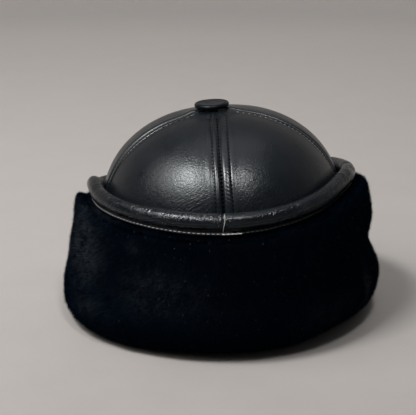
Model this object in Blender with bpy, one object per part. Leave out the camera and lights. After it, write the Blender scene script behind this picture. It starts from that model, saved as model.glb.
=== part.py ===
"""A leather trapper hat whose fur flaps are folded up into a cuff, standing on a table.

Metres, +Z up. The origin is on the table under the middle of the cuff. The side that the
photograph shows faces -Y, and +X is on its right.
"""

import math

import bmesh
import bpy
from mathutils import Matrix, Vector

# The opening for the head, and the leather crown round it
HEAD_HALF_WIDTH = 0.0862
HEAD_HALF_LENGTH = 0.0920
CROWN_WALL = 0.0024
CROWN_FOOT = 0.0140  # height of the crown's bottom edge over the table
WALL_RISE = 0.0671  # from the foot to where the dome springs
DOME_RISE = 0.0783  # from there to the top
CROWN_SWELL = 0.0063  # how far the wall widens below the dome
DOME_FULLNESS = 2.18  # 2 is a plain ellipsoid, more is squarer
TOP_HOLE = 0.0040  # radius of the hole that the button's shank goes through

# The panels and the double-stitched bands along their seams
SEAMS = (-88.8, -9.0, 91.0, 193.0)  # front, right, back and left, in degrees from +X
SEAM_GAP = 0.0004
PANEL_PUFF = 0.0026  # how far the widest panel's middle stands out between its seams
BAND_WIDTH = 0.0070  # from the seam to its row of stitches
BAND_RAISE = 0.0009
GROOVE_DEPTH = 0.0007

# The leather-covered button on top
BUTTON_RADIUS = 0.0137
BUTTON_THICK = 0.0056
BUTTON_SHIFT = 0.0030  # it is sewn on that far left of the seams' crossing
SHANK_LENGTH = 0.0060
SHANK_CLEARANCE = 0.0005

# The padded leather roll that binds the flaps' edge
ROLL_HEIGHT = 0.1092  # its centre line over the table, where it is highest
ROLL_DROP = 0.0220  # how far its lowest place, at the back, lies below that
ROLL_HALF_THICK = 0.0062
ROLL_HALF_TALL = 0.0069
ROLL_GAP = 0.0004  # from the panels' fullest place to the roll

# The fur cuff: the flaps, folded up from the table to the roll
FUR_OUT = 0.0380  # from the crown's foot out to the fullest fur
FUR_RIPPLE = 0.0005
SIDE_LIP = 0.0030  # how much higher the pile puffs up beside the roll at the hat's sides
PIECE_GAP = 0.0003

# The hat leans to its left: crown and roll turn about an axis along Y at this height. Above it
# the dome has slumped a little way upright again.
LEAN = math.radians(4.2)
LEAN_HEIGHT = 0.0980
DOME_UPRIGHT = 0.13  # the share of the lean that is gone at the top

# Fineness
STEPS_AROUND = 72
ROLL_SIDES = 12
BUTTON_SIDES = 32
WALL_ROWS = 3
DOME_ROWS = 10
MIDDLE_COLUMNS = 10

# Across a band, outwards from its seam: distance as a share of BAND_WIDTH, and lift as shares
# of the groove's depth and the band's raise
BAND_SECTION = (
    {"across": 0.00, "groove": 1.0, "raise": 0.0},
    {"across": 0.22, "groove": 0.0, "raise": 0.8},
    {"across": 0.60, "groove": 0.0, "raise": 1.0},
    {"across": 1.00, "groove": 0.2, "raise": 0.0},
    {"across": 1.30, "groove": 0.0, "raise": 0.1},
)

# The button's outline from the middle of its top to its shank: radius and height as shares of
# BUTTON_RADIUS and BUTTON_THICK
BUTTON_OUTLINE = (
    {"out": 0.45, "up": 0.93},
    {"out": 0.76, "up": 0.97},
    {"out": 0.90, "up": 0.95},
    {"out": 0.98, "up": 0.78},
    {"out": 1.00, "up": 0.50},
    {"out": 0.97, "up": 0.18},
    {"out": 0.90, "up": 0.00},
)

# The roll's height round the hat: where, in degrees from +X, and how far down, as a share of
# ROLL_DROP. The flaps stand highest at the hat's sides.
ROLL_LINE = (
    {"at": -90, "drop": 0.35},
    {"at": -70, "drop": 0.38},
    {"at": -48, "drop": 0.29},
    {"at": -20, "drop": 0.12},
    {"at": 14, "drop": 0.48},
    {"at": 45, "drop": 0.86},
    {"at": 90, "drop": 1.00},
    {"at": 138, "drop": 0.92},
    {"at": 168, "drop": 0.50},
    {"at": 186, "drop": 0.00},
    {"at": 205, "drop": 0.06},
    {"at": 232, "drop": 0.16},
)

# The cuff's fur side, from the roll's seam down to the table: out from the roll's centre line
# towards FUR_OUT, up as a share of the seam's height, and its shares of the lean and SIDE_LIP
FUR_SIDE = (
    {"out": 0.00, "up": 1.000, "lean": 1.0, "lip": 0.0},
    {"out": 0.05, "up": 0.945, "lean": 1.0, "lip": 0.0},
    {"out": 0.20, "up": 0.950, "lean": 1.0, "lip": 0.4},
    {"out": 0.36, "up": 0.975, "lean": 1.0, "lip": 1.0},
    {"out": 0.51, "up": 0.980, "lean": 1.0, "lip": 1.2},
    {"out": 0.62, "up": 0.945, "lean": 1.0, "lip": 1.0},
    {"out": 0.69, "up": 0.860, "lean": 0.95, "lip": 0.5},
    {"out": 0.76, "up": 0.740, "lean": 0.85, "lip": 0.0},
    {"out": 0.81, "up": 0.620, "lean": 0.7, "lip": 0.0},
    {"out": 0.85, "up": 0.500, "lean": 0.55, "lip": 0.0},
    {"out": 0.94, "up": 0.385, "lean": 0.35, "lip": 0.0},
    {"out": 1.00, "up": 0.270, "lean": 0.2, "lip": 0.0},
    {"out": 0.98, "up": 0.180, "lean": 0.1, "lip": 0.0},
    {"out": 0.88, "up": 0.095, "lean": 0.0, "lip": 0.0},
    {"out": 0.70, "up": 0.035, "lean": 0.0, "lip": 0.0},
    {"out": 0.46, "up": 0.000, "lean": 0.0, "lip": 0.0},
    {"out": 0.02, "up": 0.000, "lean": 0.0, "lip": 0.0},
)

# The fold under the crown, from the table to the ledge that the crown stands on: in from the
# crown's outer face as a share of its wall, up as a share of the ledge's height
FOLD_SIDE = (
    {"inward": -0.80, "up": 0.10, "lean": 0.0},
    {"inward": 0.70, "up": 0.42, "lean": 0.5},
    {"inward": 1.00, "up": 1.00, "lean": 1.0},
    {"inward": -0.60, "up": 1.00, "lean": 1.0},
)

# The flaps' leather side, from the ledge up to the roll: out from the crown's foot towards the
# roll's centre line, and up from the ledge towards the seam, both as shares
LEATHER_SIDE = (
    {"out": 0.36, "up": 0.04, "lean": 1.0},
    {"out": 0.74, "up": 0.14, "lean": 1.0},
    {"out": 1.00, "up": 0.35, "lean": 0.9},
    {"out": 1.06, "up": 0.60, "lean": 0.9},
    {"out": 0.94, "up": 0.84, "lean": 1.0},
    {"out": 0.75, "up": 1.00, "lean": 1.0},
)

# Dents (inwards) and bulges (negative) of the fur: where round the hat in degrees from +X, how
# far they spread, height and spread as shares of the seam's height, depth as one of FUR_OUT
FUR_DENTS = (
    {"at": -6, "spread": 26, "up": 0.56, "tall": 0.12, "depth": 0.14},
    {"at": 0, "spread": 24, "up": 0.33, "tall": 0.08, "depth": -0.04},
    {"at": 186, "spread": 28, "up": 0.56, "tall": 0.17, "depth": -0.06},
    {"at": 190, "spread": 30, "up": 0.28, "tall": 0.20, "depth": -0.03},
    {"at": 204, "spread": 30, "up": 0.09, "tall": 0.10, "depth": -0.05},
    {"at": 222, "spread": 32, "up": 0.05, "tall": 0.20, "depth": -0.10},
)

LEATHER_LOOK = {"colour": (0.012, 0.013, 0.015), "roughness": 0.36, "metallic": 0.0}
ROLL_LOOK = {"colour": (0.010, 0.011, 0.013), "roughness": 0.42, "metallic": 0.0}
BUTTON_LOOK = {"colour": (0.011, 0.012, 0.014), "roughness": 0.33, "metallic": 0.0}
FUR_LOOK = {"colour": (0.004, 0.005, 0.007), "roughness": 0.90, "metallic": 0.0}

FOOT_HALF_WIDTH = HEAD_HALF_WIDTH + CROWN_WALL
FOOT_HALF_LENGTH = HEAD_HALF_LENGTH + CROWN_WALL
CROWN_TOP = CROWN_FOOT + WALL_RISE + DOME_RISE
DOME_FOOT = CROWN_FOOT + WALL_RISE
LEDGE_HEIGHT = CROWN_FOOT - PIECE_GAP


def clear_scene():
    for thing in list(bpy.data.objects):
        bpy.data.objects.remove(thing)


def finish_of(name, look):
    """A plain Principled material."""
    finish = bpy.data.materials.new(name)
    finish.use_nodes = True
    shader = finish.node_tree.nodes["Principled BSDF"]
    shader.inputs["Base Color"].default_value = (*look["colour"], 1.0)
    shader.inputs["Roughness"].default_value = look["roughness"]
    shader.inputs["Metallic"].default_value = look["metallic"]
    return finish


def lean(point, share=1.0):
    """The point turned about the lean's axis, or carried only a share of the way there."""
    axis = Vector((0.0, 0.0, LEAN_HEIGHT))
    turned = Matrix.Rotation(-LEAN, 3, "Y") @ (point - axis) + axis
    return point.lerp(turned, share)


def settle(point):
    """Where a point of the crown lies once it leans and its dome has slumped."""
    above = max(0.0, point.z - LEAN_HEIGHT) / (CROWN_TOP - LEAN_HEIGHT)
    return lean(point, 1 - DOME_UPRIGHT * above)


def oval(angle, out, height):
    """A point round the hat, that far out from the crown's foot."""
    return Vector(
        (
            (FOOT_HALF_WIDTH + out) * math.cos(angle),
            (FOOT_HALF_LENGTH + out) * math.sin(angle),
            height,
        )
    )


def roll_height(angle):
    """The height of the roll's centre line, on a smooth curve through ROLL_LINE's rows."""
    degrees = math.degrees(angle)
    rows = sorted(ROLL_LINE, key=lambda row: (degrees - row["at"]) % 360)
    before, after = rows[0], rows[-1]
    earlier, later = rows[1], rows[-2]
    share = (degrees - before["at"]) % 360 / ((after["at"] - before["at"]) % 360)
    a, b, c, d = (row["drop"] for row in (earlier, before, after, later))
    bend = (2 * a - 5 * b + 4 * c - d) * share**2 + (3 * b - a - 3 * c + d) * share**3
    return ROLL_HEIGHT - ROLL_DROP * (b + ((c - a) * share + bend) / 2)


def crown_swell(height):
    """How far the crown's plain face stands out from its foot at this height."""
    if height < DOME_FOOT:
        return CROWN_SWELL * math.sin((height - CROWN_FOOT) / WALL_RISE * math.pi / 2)
    climb = (height - DOME_FOOT) / DOME_RISE
    shrink = (1 - climb**DOME_FULLNESS) ** (1 / DOME_FULLNESS)
    return (FOOT_HALF_WIDTH + CROWN_SWELL) * shrink - FOOT_HALF_WIDTH


def roll_out(angle):
    """How far out from the crown's foot the roll's centre line lies."""
    return crown_swell(roll_height(angle)) + PANEL_PUFF + ROLL_GAP + ROLL_HALF_THICK


def seam_height(angle):
    """The height of the fur cuff's top, just under the roll."""
    return roll_height(angle) - ROLL_HALF_TALL - PIECE_GAP


def add_object(name, work, finish):
    """Makes an object from a bmesh, facing out and shaded smooth."""
    bmesh.ops.recalc_face_normals(work, faces=work.faces)
    mesh = bpy.data.meshes.new(name)
    work.to_mesh(mesh)
    work.free()
    mesh.shade_smooth()
    mesh.set_sharp_from_angle(angle=math.radians(50))
    mesh.materials.append(finish)
    made = bpy.data.objects.new(name, mesh)
    bpy.context.scene.collection.objects.link(made)
    return made


def ring_of_sections(sections):
    """A closed solid ring through closed sections that have as many points each."""
    work = bmesh.new()
    loops = [[work.verts.new(point) for point in section] for section in sections]
    for here, there in zip(loops, loops[1:] + loops[:1]):
        for i in range(len(here)):
            j = (i + 1) % len(here)
            work.faces.new((here[i], here[j], there[j], there[i]))
    return work


def shell_of_grids(outer, inner):
    """A closed wall between two grids of points with as many rows and columns."""
    work = bmesh.new()
    faces = [[[work.verts.new(p) for p in row] for row in grid] for grid in (outer, inner)]
    rows, columns = len(outer), len(outer[0])
    for side in faces:
        for r in range(rows - 1):
            for c in range(columns - 1):
                corners = (side[r][c], side[r][c + 1], side[r + 1][c + 1], side[r + 1][c])
                work.faces.new(corners)
    rim = [(0, c) for c in range(columns)]
    rim += [(r, columns - 1) for r in range(1, rows)]
    rim += [(rows - 1, c) for c in range(columns - 2, -1, -1)]
    rim += [(r, 0) for r in range(rows - 2, 0, -1)]
    for (r0, c0), (r1, c1) in zip(rim, rim[1:] + rim[:1]):
        work.faces.new((faces[0][r0][c0], faces[0][r1][c1], faces[1][r1][c1], faces[1][r0][c0]))
    return work


def turned_solid(rings, top, bottom):
    """A closed solid through level rings, closed by a point above and one below."""
    work = bmesh.new()
    loops = [[work.verts.new(point) for point in ring] for ring in rings]
    for here, there in zip(loops, loops[1:]):
        for i in range(len(here)):
            j = (i + 1) % len(here)
            work.faces.new((here[i], here[j], there[j], there[i]))
    for loop, point in ((loops[0], top), (loops[-1], bottom)):
        tip = work.verts.new(point)
        for i in range(len(loop)):
            work.faces.new((loop[i], loop[(i + 1) % len(loop)], tip))
    return work


def crown_ring(rise):
    """Half width, half length and height of the crown's plain outer face.

    The rise is 0 at the foot, 1 where the dome springs and 2 at the top.
    """
    if rise < 1:
        swell = CROWN_SWELL * math.sin(rise * math.pi / 2)
        return FOOT_HALF_WIDTH + swell, FOOT_HALF_LENGTH + swell, CROWN_FOOT + rise * WALL_RISE
    turn = (rise - 1) * math.pi / 2
    shrink = math.cos(turn) ** (2 / DOME_FULLNESS)
    climb = math.sin(turn) ** (2 / DOME_FULLNESS)
    return (
        (FOOT_HALF_WIDTH + CROWN_SWELL) * shrink,
        (FOOT_HALF_LENGTH + CROWN_SWELL) * shrink,
        CROWN_FOOT + WALL_RISE + DOME_RISE * climb,
    )


def crown_point(angle, rise, lift):
    """A point at that distance from the crown's plain outer face, along its normal."""

    def plain(a, r):
        half_width, half_length, height = crown_ring(r)
        return Vector((half_width * math.cos(a), half_length * math.sin(a), height))

    step = 1e-4
    around = plain(angle + step, rise) - plain(angle - step, rise)
    if rise < step:
        upwards = plain(angle, rise + step) - plain(angle, rise)
    else:
        upwards = plain(angle, rise + step) - plain(angle, rise - step)
    return plain(angle, rise) + around.cross(upwards).normalized() * lift


def top_rise():
    """The rise at which the crown has narrowed to the button's hole."""
    shrink = TOP_HOLE / (FOOT_HALF_WIDTH + CROWN_SWELL)
    return 1 + math.acos(shrink ** (DOME_FULLNESS / 2)) * 2 / math.pi


def crown_rises():
    """The rises of the panels' rows, from the foot to the hole."""
    rises = [row / WALL_ROWS for row in range(WALL_ROWS)]
    reach = top_rise() - 1
    return rises + [1 + reach * row / DOME_ROWS for row in range(DOME_ROWS + 1)]


def panel_ends(number):
    """The angles of the seams that a panel lies between."""
    ends = [*SEAMS, SEAMS[0] + 360]
    return math.radians(ends[number]), math.radians(ends[number + 1])


def widest_half_angle():
    return max(end - start for start, end in map(panel_ends, range(len(SEAMS)))) / 2


def panel_row(start, end, rise):
    """A panel's row from its first seam to its second: angle, outer lift and inner lift."""
    half_width, half_length, _ = crown_ring(rise)
    half_angle = (end - start) / 2
    puff = PANEL_PUFF * half_angle / widest_half_angle() * math.sin(rise * math.pi / 2)
    halves = []
    for seam, way in ((start, 1), (end, -1)):
        speed = math.hypot(half_width * math.sin(seam), half_length * math.cos(seam))
        last = BAND_SECTION[-1]["across"] * BAND_WIDTH
        squeeze = min(1.0, half_angle * speed * 0.75 / last)
        half = []
        for row in BAND_SECTION:
            distance = SEAM_GAP / 2 + row["across"] * BAND_WIDTH * squeeze
            across = distance / speed
            swell = puff * math.sin(across / half_angle * math.pi / 2)
            relief = row["raise"] * BAND_RAISE - row["groove"] * GROOVE_DEPTH
            half.append((seam + way * across, swell + relief, swell - CROWN_WALL))
        halves.append(half)
    first, second = halves
    left, right = first[-1], second[-1]
    middle = []
    for column in range(1, MIDDLE_COLUMNS + 1):
        angle = left[0] + (right[0] - left[0]) * column / (MIDDLE_COLUMNS + 1)
        share = 1 - abs(angle - (start + end) / 2) / half_angle
        swell = puff * math.sin(share * math.pi / 2)
        middle.append((angle, swell, swell - CROWN_WALL))
    return first + middle + second[::-1]


def make_crown_panel(number):
    """One of the crown's leather panels, between two seams."""
    start, end = panel_ends(number)
    outer, inner = [], []
    for rise in crown_rises():
        columns = panel_row(start, end, rise)
        outer.append([settle(crown_point(angle, rise, lift)) for angle, lift, _ in columns])
        inner.append([settle(crown_point(angle, rise, lift)) for angle, _, lift in columns])
    work = shell_of_grids(outer, inner)
    name = f"crown_panel_{number + 1}"
    return add_object(name, work, finish_of(f"{name}_leather", LEATHER_LOOK))


def make_top_button():
    """The covered button, with the shank that holds it in the crown's top."""
    seat = CROWN_TOP + BAND_RAISE + PIECE_GAP
    shank = TOP_HOLE - SHANK_CLEARANCE
    outline = [
        (BUTTON_RADIUS * row["out"], seat + BUTTON_THICK * row["up"], BUTTON_SHIFT)
        for row in BUTTON_OUTLINE
    ]
    outline += [(shank, seat, 0.0), (shank, seat - SHANK_LENGTH, 0.0)]
    rings = []
    for radius, height, shift in outline:
        ring = []
        for side in range(BUTTON_SIDES):
            angle = math.tau * side / BUTTON_SIDES
            x, y = radius * math.cos(angle) - shift, radius * math.sin(angle)
            ring.append(settle(Vector((x, y, height))))
        rings.append(ring)
    top = settle(Vector((-BUTTON_SHIFT, 0.0, seat + BUTTON_THICK * BUTTON_OUTLINE[0]["up"])))
    bottom = settle(Vector((0.0, 0.0, seat - SHANK_LENGTH)))
    work = turned_solid(rings, top, bottom)
    return add_object("top_button", work, finish_of("top_button_leather", BUTTON_LOOK))


def make_edge_roll():
    """The padded leather roll along the folded flaps' edge."""
    sections = []
    for step in range(STEPS_AROUND):
        angle = math.tau * step / STEPS_AROUND
        section = []
        for side in range(ROLL_SIDES):
            turn = math.tau * side / ROLL_SIDES
            out = roll_out(angle) + ROLL_HALF_THICK * math.cos(turn)
            height = roll_height(angle) + ROLL_HALF_TALL * math.sin(turn)
            section.append(lean(oval(angle, out, height)))
        sections.append(section)
    work = ring_of_sections(sections)
    return add_object("edge_roll", work, finish_of("edge_roll_leather", ROLL_LOOK))


def degrees_apart(a, b):
    return abs((a - b + 180) % 360 - 180)


def fur_depth(angle, up):
    """How far the fur's face stands back at this place, from its dents and its ripple."""
    depth = 0.0
    for dent in FUR_DENTS:
        around = degrees_apart(math.degrees(angle), dent["at"]) / dent["spread"]
        along = (up - dent["up"]) / dent["tall"]
        depth += dent["depth"] * FUR_OUT * math.exp(-around * around - along * along)
    ripple = math.sin(7 * angle + 9 * up) + math.sin(17 * angle - 13 * up + 1.0)
    return depth + FUR_RIPPLE * ripple * math.sin(math.pi * min(1.0, up))


def cuff_section(angle):
    """The cuff's closed outline at this place round the hat."""
    seam_out, seam = roll_out(angle), seam_height(angle)
    points = []
    for row in FUR_SIDE:
        out = seam_out + (FUR_OUT - seam_out) * row["out"]
        out -= fur_depth(angle, row["up"]) * min(1.0, 4 * row["out"])
        height = seam * row["up"] + SIDE_LIP * row["lip"] * math.cos(angle) ** 2
        points.append(lean(oval(angle, out, height), row["lean"]))
    for row in FOLD_SIDE:
        height = LEDGE_HEIGHT * row["up"]
        points.append(lean(oval(angle, -CROWN_WALL * row["inward"], height), row["lean"]))
    for row in LEATHER_SIDE:
        height = LEDGE_HEIGHT + (seam - LEDGE_HEIGHT) * row["up"]
        points.append(lean(oval(angle, seam_out * row["out"], height), row["lean"]))
    return points


def make_fur_cuff():
    """The fur flaps folded up round the crown, with the fold that they stand on."""
    angles = [math.tau * step / STEPS_AROUND for step in range(STEPS_AROUND)]
    work = ring_of_sections([cuff_section(angle) for angle in angles])
    return add_object("fur_cuff", work, finish_of("fur_cuff_pile", FUR_LOOK))


def main():
    clear_scene()
    hat = bpy.data.objects.new("trapper_hat", None)
    bpy.context.scene.collection.objects.link(hat)
    pieces = [make_crown_panel(number) for number in range(len(SEAMS))]
    pieces += [make_top_button(), make_edge_roll(), make_fur_cuff()]
    for piece in pieces:
        piece.parent = hat


main()
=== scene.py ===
"""The looks of the leather trapper hat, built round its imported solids.

Metres, +Z up, in the frame of the solids. The side that the photograph shows faces -Y, and +X
is on its right. Shapes shared with the solids repeat their formulas and their named sizes, and
everything finer is added here: seams, stitches, wrinkles, the stitched binding and the pile.
"""

import itertools
import math

import bpy
import numpy as np
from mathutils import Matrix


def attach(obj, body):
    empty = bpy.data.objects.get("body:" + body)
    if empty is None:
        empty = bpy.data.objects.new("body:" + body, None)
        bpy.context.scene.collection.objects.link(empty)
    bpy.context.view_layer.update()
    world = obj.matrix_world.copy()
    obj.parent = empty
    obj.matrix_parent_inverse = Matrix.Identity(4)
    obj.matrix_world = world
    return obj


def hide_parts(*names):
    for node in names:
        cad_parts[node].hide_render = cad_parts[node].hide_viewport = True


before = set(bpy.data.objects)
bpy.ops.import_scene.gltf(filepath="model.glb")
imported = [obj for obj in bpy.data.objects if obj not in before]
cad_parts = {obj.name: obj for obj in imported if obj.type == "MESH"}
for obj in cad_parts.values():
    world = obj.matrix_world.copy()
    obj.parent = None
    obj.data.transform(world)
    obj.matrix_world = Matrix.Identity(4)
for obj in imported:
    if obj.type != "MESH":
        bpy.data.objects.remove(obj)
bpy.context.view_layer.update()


def table(columns, *rows):
    """Rows of numbers under the names of their columns."""
    return [dict(zip(columns.split(), row)) for row in rows]


# The camera's place for the photograph's view
VIEW_LENS = 107.65
VIEW_PLACE = (-0.01005, -0.95416, 0.37664)
VIEW_DOWN = math.radians(17.3)

# The place on the hat that the lamps face, and their warm colour
LAMPS_AIM = (0.0, 0.0, 0.09)
LAMPS_COLOUR = (1.0, 0.955, 0.915)

# The opening for the head, and the leather crown round it
HEAD_HALF_WIDTH = 0.0862
HEAD_HALF_LENGTH = 0.0920
CROWN_WALL = 0.0024
CROWN_FOOT = 0.0140
WALL_RISE = 0.0671
DOME_RISE = 0.0783
CROWN_SWELL = 0.0063
DOME_FULLNESS = 2.18
TOP_HOLE = 0.0040

# The panels and the double-stitched bands along their seams
SEAMS = (-88.8, -9.0, 91.0, 193.0)  # front, right, back and left, in degrees from +X
PANELS = len(SEAMS)
SEAM_GAP = 0.0004
PANEL_PUFF = 0.0026
BAND_RAISE = 0.0009

# The leather-covered button on top
BUTTON_RADIUS = 0.0137
BUTTON_THICK = 0.0056
BUTTON_SHIFT = 0.0030
BUTTON_LIFT = 0.0019  # how far its rim's underside curls up
BUTTON_RAISE = 0.0017  # how far the leather swells up to it
SHANK_LENGTH = 0.0060
SHANK_CLEARANCE = 0.0005

# The padded leather roll that binds the flaps' edge
ROLL_HEIGHT = 0.1092
ROLL_DROP = 0.0220
ROLL_HALF_THICK = 0.0062
ROLL_HALF_TALL = 0.0069
ROLL_GAP = 0.0004

# The fur cuff
FUR_OUT = 0.0380
SIDE_LIP = 0.0030
PIECE_GAP = 0.0003

# How the hat leans
LEAN = math.radians(4.2)
LEAN_HEIGHT = 0.0980
DOME_UPRIGHT = 0.13

ROLL_LINE = table(
    "at drop",
    (-90, 0.35),
    (-70, 0.38),
    (-48, 0.29),
    (-20, 0.12),
    (14, 0.48),
    (45, 0.86),
    (90, 1.00),
    (138, 0.92),
    (168, 0.50),
    (186, 0.00),
    (205, 0.06),
    (232, 0.16),
)

BUTTON_OUTLINE = table(
    "out up",
    (0.00, 0.93),
    (0.22, 0.93),
    (0.45, 0.93),
    (0.76, 0.97),
    (0.90, 0.95),
    (0.98, 0.78),
    (1.00, 0.50),
    (0.97, 0.18),
    (0.90, 0.00),
    (0.60, 0.00),
    (0.26, 0.00),
)

# The cuff's outline, as in the solids: the fur side, the fold under the crown and the leather side
FUR_SIDE = table(
    "out up lean lip",
    (0.00, 1.000, 1.0, 0.0),
    (0.05, 0.945, 1.0, 0.0),
    (0.20, 0.950, 1.0, 0.4),
    (0.36, 0.975, 1.0, 1.0),
    (0.51, 0.980, 1.0, 1.2),
    (0.62, 0.945, 1.0, 1.0),
    (0.69, 0.860, 0.95, 0.5),
    (0.76, 0.740, 0.85, 0.0),
    (0.81, 0.620, 0.7, 0.0),
    (0.85, 0.500, 0.55, 0.0),
    (0.94, 0.385, 0.35, 0.0),
    (1.00, 0.270, 0.2, 0.0),
    (0.98, 0.180, 0.1, 0.0),
    (0.88, 0.095, 0.0, 0.0),
    (0.70, 0.035, 0.0, 0.0),
    (0.46, 0.000, 0.0, 0.0),
    (0.02, 0.000, 0.0, 0.0),
)
FOLD_SIDE = table(
    "inward up lean",
    (-0.80, 0.10, 0.0),
    (0.70, 0.42, 0.5),
    (1.00, 1.00, 1.0),
    (-0.60, 1.00, 1.0),
)
LEATHER_SIDE = table(
    "out up lean",
    (0.36, 0.04, 1.0),
    (0.74, 0.14, 1.0),
    (1.00, 0.35, 0.9),
    (1.06, 0.60, 0.9),
    (0.94, 0.84, 1.0),
    (0.75, 1.00, 1.0),
)
FUR_DENTS = table(
    "at spread up tall depth",
    (-6, 26, 0.56, 0.12, 0.14),
    (0, 24, 0.33, 0.08, -0.04),
    (186, 28, 0.56, 0.17, -0.06),
    (190, 30, 0.28, 0.20, -0.03),
    (204, 30, 0.09, 0.10, -0.05),
    (222, 32, 0.05, 0.20, -0.10),
)

# The sewing: rows of stitches beside each seam, their pitch and their thread
ROW_AFTER_SEAM = 0.0070
ROW_BEFORE_SEAM = 0.0052
FIRST_STITCH = 0.0010  # length up the dome
STITCH_PITCH = 0.0030
THREAD_RADIUS = 0.00056
STITCHES = table(  # for each seam
    "length slant thick",
    (0.0010, 0.00016, 1.0),
    (0.0019, 0.00075, 0.7),
    (0.0010, 0.00016, 1.0),
    (0.0018, 0.00045, 1.2),
)
TOP_SPREAD = 0.6  # how much further apart the stitches are towards the top
CROSS_THREAD = 0.00055
PLEAT_SLANT = 0.0046
PANELS_APART = 0.2  # keeps one panel's creases unlike the next one's

# The flat binding under the roll, its stitches, and where the roll is joined
STRIP_OUT = 0.0032
STRIP_TOP = -0.0054
STRIP_TALL = 0.0031
STRIP_THICK = 0.0010
STITCH_DOWN = 0.58  # share of the way down the binding
BINDING_PITCH = 0.0034
BINDING_STITCH = 0.0028
BINDING_THREAD = 0.00032
BACK_STITCHES = 5
BACK_PITCH = 0.0029
ROLL_JOIN = math.radians(-88.6)
ROLL_REACH = 0.105  # the roll's mean distance from the hat's middle
LOOSE_THREAD = 0.00022

# The pile
HAIR_LENGTH = 0.0038
HAIR_WIDTH = 0.00023
HAIRS_PER_PIECE = 155000
HAIR_PIECES = 3
CLUMP_SIZE = 0.0017
CLUMP_CELLS = 512
PILE_ROUND = 0.115  # metres round the pile for each radian
PILE_DOWN = 0.20  # metres down its face
LINT_SHARE = 0.0050
FUR_STEPS = len(FUR_SIDE) - 1

# The pile stands fuller beside the binding, and it is tucked under at the front
SEAM_FULL = 0.0056
FRONT_TUCK = 0.0095
RIGHT_TUCK = 0.0105

# Where the pile is brushed up or pressed, seen from the front: degrees from +X, spread in
# degrees, height and spread as shares of the seam's height, and how much paler it is painted,
# which is painted sheen standing in for the light that the brushed pile catches
BRUSHED_AND_SHEEN = table(
    "at spread up tall pale",
    (206, 13, 0.70, 0.24, 1.60),
    (216, 10, 0.28, 0.10, 0.60),
    (246, 15, 0.56, 0.18, 0.80),
    (236, 4, 0.88, 0.05, 0.60),
    (311, 10, 0.30, 0.10, 0.45),
    (333, 2, 0.28, 0.16, 1.20),
    (334, 2.5, 0.35, 0.04, 1.80),
)

FOOT_HALF_WIDTH = HEAD_HALF_WIDTH + CROWN_WALL
FOOT_HALF_LENGTH = HEAD_HALF_LENGTH + CROWN_WALL
CROWN_TOP = CROWN_FOOT + WALL_RISE + DOME_RISE
DOME_FOOT = CROWN_FOOT + WALL_RISE
LEDGE_HEIGHT = CROWN_FOOT - PIECE_GAP


def smooth_noise(points, size, seed):
    """Smooth random numbers from -1 to 1 that change over about that size."""
    lattice = np.random.default_rng(seed).uniform(-1, 1, (32, 32, 32))
    cell = points / size + 64.0
    low = np.floor(cell).astype(int)
    share = cell - low
    share = share * share * (3 - 2 * share)
    total = np.zeros(points.shape[:-1])
    for corner in itertools.product((0, 1), repeat=3):
        weight = np.prod(np.where(corner, share, 1 - share), axis=-1)
        x, y, z = np.moveaxis((low + corner) % 32, -1, 0)
        total += weight * lattice[x, y, z]
    return total


def unit(vectors):
    return vectors / np.maximum(np.linalg.norm(vectors, axis=-1, keepdims=True), 1e-12)


def bell(offset, spread):
    return np.exp(-((offset / spread) ** 2))


def vectors(x, y, z):
    return np.stack(np.broadcast_arrays(x, y, z), axis=-1)


def degrees_from(angle, at):
    """Degrees round the hat from a place, between -180 and 180."""
    return (np.degrees(angle) - at + 180) % 360 - 180


def lean(points, share=1.0):
    """The points turned about the lean's axis, or carried a share of the way there."""
    x, z = points[..., 0], points[..., 2] - LEAN_HEIGHT
    turned_x = x * math.cos(LEAN) - z * math.sin(LEAN)
    turned_z = x * math.sin(LEAN) + z * math.cos(LEAN)
    moved = points.copy()
    moved[..., 0] += (turned_x - x) * share
    moved[..., 2] += (turned_z - z) * share
    return moved


def settle(points):
    """Where points of the crown lie once it leans and its dome has slumped."""
    above = np.maximum(0.0, points[..., 2] - LEAN_HEIGHT) / (CROWN_TOP - LEAN_HEIGHT)
    return lean(points, 1 - DOME_UPRIGHT * above)


def oval(angle, out, height):
    """Points round the hat, that far out from the crown's foot."""
    x = (FOOT_HALF_WIDTH + out) * np.cos(angle)
    y = (FOOT_HALF_LENGTH + out) * np.sin(angle)
    return vectors(x, y, height)


def roll_height(angle):
    """The height of the roll's centre line, on a smooth curve through ROLL_LINE's rows."""
    at = np.array([row["at"] for row in ROLL_LINE], float)
    drop = np.array([row["drop"] for row in ROLL_LINE])
    degrees = (np.degrees(angle) - at[0]) % 360 + at[0]
    before = np.searchsorted(at, degrees, side="right") - 1
    count = len(at)
    share = (degrees - at[before]) / ((at[(before + 1) % count] - at[before]) % 360)
    a, b, c, d = (drop[(before + step) % count] for step in (-1, 0, 1, 2))
    bend = (2 * a - 5 * b + 4 * c - d) * share**2 + (3 * b - a - 3 * c + d) * share**3
    return ROLL_HEIGHT - ROLL_DROP * (b + ((c - a) * share + bend) / 2)


def crown_swell(height):
    """How far the crown's plain face stands out from its foot, on its dome."""
    climb = np.clip((height - DOME_FOOT) / DOME_RISE, 0, 1)
    shrink = (1 - climb**DOME_FULLNESS) ** (1 / DOME_FULLNESS)
    return (FOOT_HALF_WIDTH + CROWN_SWELL) * shrink - FOOT_HALF_WIDTH


def roll_out(angle):
    """How far out from the crown's foot the roll's centre line lies."""
    return crown_swell(roll_height(angle)) + PANEL_PUFF + ROLL_GAP + ROLL_HALF_THICK


def seam_height(angle):
    return roll_height(angle) - ROLL_HALF_TALL - PIECE_GAP


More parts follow.
